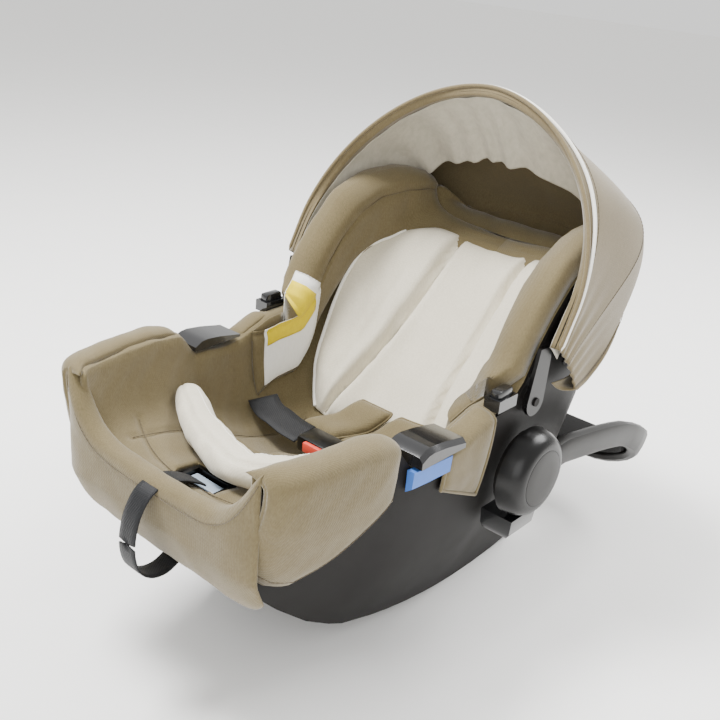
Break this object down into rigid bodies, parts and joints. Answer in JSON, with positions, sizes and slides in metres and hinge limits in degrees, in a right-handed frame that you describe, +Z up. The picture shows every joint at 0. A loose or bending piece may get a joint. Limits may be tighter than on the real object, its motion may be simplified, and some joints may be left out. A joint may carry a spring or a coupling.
{
  "type": "infant car seat",
  "caption": "Rear-facing infant carrier seat: rocker shell, padded cover and newborn insert, harness, swing-back carry handle and folding canopy.",
  "frame": {"origin": "centre of the carrier's footprint at floor height, measured without the free pull strap", "axes": "+X to the child's left, +Y towards the head end, +Z up; X = 0 is the mid-plane"},
  "size_m": [0.4418, 0.7588, 0.593],
  "materials": {
    "shell_plastic": "moulded, fine texture",
    "handle_plastic": "moulded satin",
    "satin_plastic": "moulded satin",
    "gloss_plastic": "moulded gloss",
    "grip_plastic": "soft, textured",
    "guide_blue": "moulded satin",
    "adjuster_grey": "moulded satin",
    "button_red": "moulded gloss",
    "steel": "zinc plated",
    "cover_fabric": "heathered knit over padding",
    "canopy_fabric": "heathered woven",
    "insert_fabric": "soft jersey over wadding",
    "webbing": "woven polyester webbing",
    "foam": "expanded polystyrene bead foam"
  },
  "bodies": {
    "carrier": {"adapter_lug_left": "gloss_plastic", "adapter_lug_right": "gloss_plastic", "adjuster_housing": "satin_plastic", "adjuster_strap": "webbing", "belt_guide_left": "gloss_plastic", "belt_guide_right": "gloss_plastic", "belt_marker_left": "guide_blue", "belt_marker_right": "guide_blue", "buckle_body": "satin_plastic", "button_frame_left": "gloss_plastic", "button_frame_right": "gloss_plastic", "canopy_mount_left": "shell_plastic", "canopy_mount_right": "shell_plastic", "cover_flap_left": "cover_fabric", "cover_flap_right": "cover_fabric", "cover_front": "cover_fabric", "cover_wing_left": "cover_fabric", "cover_wing_right": "cover_fabric", "crotch_pad": "cover_fabric", "crotch_strap": "webbing", "foam_liner": "foam", "head_wing_left": "cover_fabric", "head_wing_right": "cover_fabric", "hip_strap_left": "webbing", "hip_strap_right": "webbing", "hub_base_left": "shell_plastic", "hub_base_right": "shell_plastic", "insert_back": "insert_fabric", "insert_legs": "insert_fabric", "latch_bar_front": "steel", "latch_bar_rear": "steel", "lever_housing": "satin_plastic", "lock_spring_left": "steel", "lock_spring_right": "steel", "pivot_bolt_left": "steel", "pivot_bolt_right": "steel", "seat_lining": "cover_fabric", "shell": "shell_plastic", "shoulder_pad_left": "cover_fabric", "shoulder_pad_right": "cover_fabric"},
    "handle": {"handle_frame": "handle_plastic", "handle_grip": "grip_plastic", "hub_cap_left": "satin_plastic", "hub_cap_right": "satin_plastic", "hub_disc_left": "handle_plastic", "hub_disc_right": "handle_plastic"},
    "canopy_front": {"canopy_arm_left": "satin_plastic", "canopy_arm_right": "satin_plastic", "canopy_front_bow": "satin_plastic", "canopy_front_panel": "canopy_fabric"},
    "canopy_middle": {"canopy_middle_bow": "satin_plastic", "canopy_rear_panel": "canopy_fabric"},
    "release_button_left": {"release_button_left": "satin_plastic"},
    "lock_gear_left": {"lock_gear_left": "steel"},
    "release_button_right": {"release_button_right": "satin_plastic"},
    "lock_gear_right": {"lock_gear_right": "steel"},
    "buckle_button": {"buckle_button": "button_red"},
    "adjuster_lever": {"adjuster_lever": "adjuster_grey"},
    "release_lever": {"release_lever": "gloss_plastic"}
  },
  "joints": [
    {"name": "handle_swing", "type": "hinge", "parent": "carrier", "child": "handle", "pos_m": [0, 0.0098, 0.205], "axis": [1, 0, 0], "range_deg": [0, 115]},
    {"name": "canopy_fold", "type": "hinge", "parent": "carrier", "child": "canopy_front", "pos_m": [0, 0.0128, 0.29], "axis": [-1, 0, 0], "range_deg": [0, 60], "deforming": ["canopy_front_panel", "canopy_front_bow"]},
    {"name": "canopy_middle_fold", "type": "hinge", "parent": "carrier", "child": "canopy_middle", "pos_m": [0, 0.0128, 0.29], "axis": [-1, 0, 0], "range_deg": [0, 30], "deforming": ["canopy_rear_panel", "canopy_middle_bow"]},
    {"name": "lock_gear_left_slide", "type": "slide", "parent": "carrier", "child": "lock_gear_left", "axis": [-1, 0, 0], "range_m": [0, 0.004], "stiffness_N_per_m": 900, "springref_m": -0.004, "deforming": ["lock_spring_left"]},
    {"name": "release_button_left_press", "type": "slide", "parent": "carrier", "child": "release_button_left", "axis": [0, 0, -1], "range_m": [0, 0.005]},
    {"name": "lock_gear_right_slide", "type": "slide", "parent": "carrier", "child": "lock_gear_right", "axis": [1, 0, 0], "range_m": [0, 0.004], "stiffness_N_per_m": 900, "springref_m": -0.004, "deforming": ["lock_spring_right"]},
    {"name": "release_button_right_press", "type": "slide", "parent": "carrier", "child": "release_button_right", "axis": [0, 0, -1], "range_m": [0, 0.005]},
    {"name": "buckle_press", "type": "slide", "parent": "carrier", "child": "buckle_button", "axis": [0, 1, 0], "range_m": [0, 0.003], "stiffness_N_per_m": 400, "springref_m": -0.003},
    {"name": "adjuster_press", "type": "hinge", "parent": "carrier", "child": "adjuster_lever", "pos_m": [0, -0.2862, 0.2158], "axis": [1, 0, 0], "range_deg": [0, 12], "stiffness_Nm_per_rad": 0.05, "springref_deg": -17.19},
    {"name": "release_lever_squeeze", "type": "hinge", "parent": "carrier", "child": "release_lever", "pos_m": [0, 0.2868, 0.248], "axis": [1, 0, 0], "range_deg": [0, 15], "stiffness_Nm_per_rad": 0.4, "springref_deg": -17.19}
  ],
  "couplings": [
    {"joint": "canopy_middle_fold", "follows": "canopy_fold", "ratio": 0.5},
    {"joint": "release_button_left_press", "follows": "lock_gear_left_slide", "ratio": 1.25},
    {"joint": "release_button_right_press", "follows": "lock_gear_right_slide", "ratio": 1.25}
  ]
}
